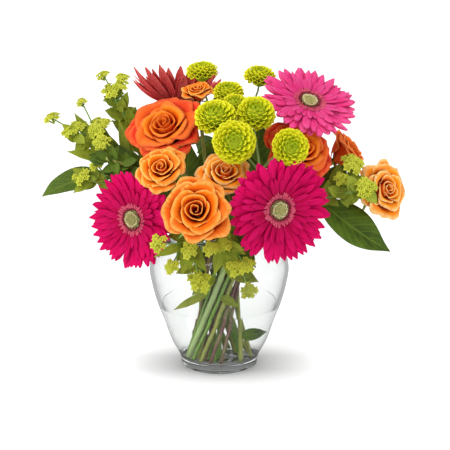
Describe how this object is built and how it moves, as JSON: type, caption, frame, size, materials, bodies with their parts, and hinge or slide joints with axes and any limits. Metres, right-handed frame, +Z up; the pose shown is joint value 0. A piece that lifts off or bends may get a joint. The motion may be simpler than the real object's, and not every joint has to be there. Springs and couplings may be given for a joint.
{
  "type": "flower bouquet in vase",
  "caption": "Mixed bouquet of gerberas, roses, button mums and leafy greenery standing in a clear glass vase of water, narrow at the foot and wide at the shoulder.",
  "frame": {"origin": "centre of the vase's flat base, on the surface it stands on", "axes": "+Z up along the vase's axis, -Y towards the bouquet's front, +X to the right seen from the front"},
  "size_m": [0.3594, 0.2863, 0.3053],
  "materials": {
    "clear_glass": "polished",
    "water": "polished",
    "pink_petal": "matte",
    "light_pink_petal": "matte",
    "red_petal": "matte",
    "gerbera_disc": "matte",
    "orange_rose": "matte",
    "red_rose": "matte",
    "lime_mum": "matte",
    "green_stem": "satin",
    "rose_stem": "satin",
    "dark_leaf": "satin",
    "lime_leaf": "matte"
  },
  "bodies": {
    "root": {"vase": "clear_glass", "water": "water", "gerbera_left_petals": "pink_petal", "gerbera_left_disc": "gerbera_disc", "gerbera_left_stem": "green_stem", "gerbera_front_petals": "pink_petal", "gerbera_front_disc": "gerbera_disc", "gerbera_front_stem": "green_stem", "gerbera_right_petals": "light_pink_petal", "gerbera_right_disc": "gerbera_disc", "gerbera_right_stem": "green_stem", "gerbera_back_petals": "red_petal", "gerbera_back_disc": "gerbera_disc", "gerbera_back_stem": "green_stem", "rose_left_bloom": "red_rose", "rose_left_stem": "rose_stem", "rose_right_bloom": "red_rose", "rose_right_stem": "rose_stem", "rose_back_bloom": "red_rose", "rose_back_stem": "rose_stem", "spray_rose_upper_bloom": "orange_rose", "spray_rose_upper_stem": "rose_stem", "spray_rose_middle_bloom": "orange_rose", "spray_rose_middle_stem": "rose_stem", "spray_rose_front_bloom": "orange_rose", "spray_rose_front_stem": "rose_stem", "spray_rose_top_bloom": "orange_rose", "spray_rose_top_stem": "rose_stem", "spray_rose_right_bloom": "orange_rose", "spray_rose_right_stem": "rose_stem", "mum_1": "lime_mum", "mum_2": "lime_mum", "mum_3": "lime_mum", "mum_4": "lime_mum", "mum_5": "lime_mum", "mum_6": "lime_mum", "mum_7": "lime_mum", "mum_8": "lime_mum", "mum_stem_left": "green_stem", "mum_stem_right": "green_stem", "bupleurum_left": "lime_leaf", "bupleurum_top_left": "lime_leaf", "bupleurum_low_left": "lime_leaf", "bupleurum_right": "lime_leaf", "bupleurum_front_left": "lime_leaf", "bupleurum_front_right": "lime_leaf", "dark_sprig_left": "dark_leaf", "salal_left": "dark_leaf", "salal_right": "dark_leaf", "salal_front": "dark_leaf", "salal_back_left": "dark_leaf", "salal_back": "dark_leaf", "salal_back_right": "dark_leaf"}
  },
  "joints": []
}
